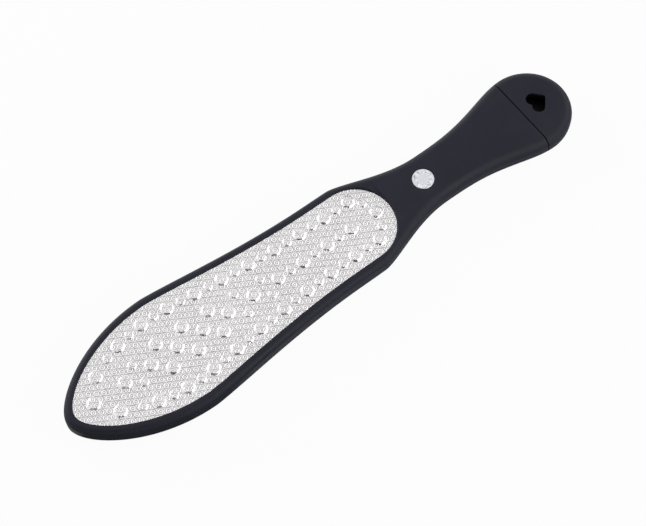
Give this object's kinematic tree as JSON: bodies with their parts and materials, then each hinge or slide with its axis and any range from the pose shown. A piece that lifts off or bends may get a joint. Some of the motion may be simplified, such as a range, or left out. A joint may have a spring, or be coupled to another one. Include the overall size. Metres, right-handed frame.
{
  "type": "foot file",
  "caption": "Flat foot file: a steel file plate with pressed domes set in a dark plastic paddle, a waisted handle, a flush neck rivet and a separate end cap with a heart-shaped opening.",
  "frame": {"origin": "on the flat back face, at the middle of the file's length and width", "axes": "+X along the file from the toe of the paddle to the butt of the handle, +Z out of the front file plate, Y across the paddle"},
  "size_m": [0.265, 0.0562, 0.0112],
  "materials": {
    "body_plastic": "satin, blue-black moulded plastic",
    "file_steel": "bright sheet steel with etched rings",
    "mounting_tape": "off-white double-sided foam tape",
    "rivet_metal": "bright, turned",
    "screw_steel": "plated"
  },
  "bodies": {
    "root": {"front_shell": "body_plastic", "back_shell": "body_plastic", "front_plate_tape": "mounting_tape", "back_plate_tape": "mounting_tape", "front_file_plate": "file_steel", "back_file_plate": "file_steel", "neck_rivet_front": "rivet_metal", "neck_rivet_back": "rivet_metal", "paddle_screws": "screw_steel", "end_cap": "body_plastic"}
  },
  "joints": []
}
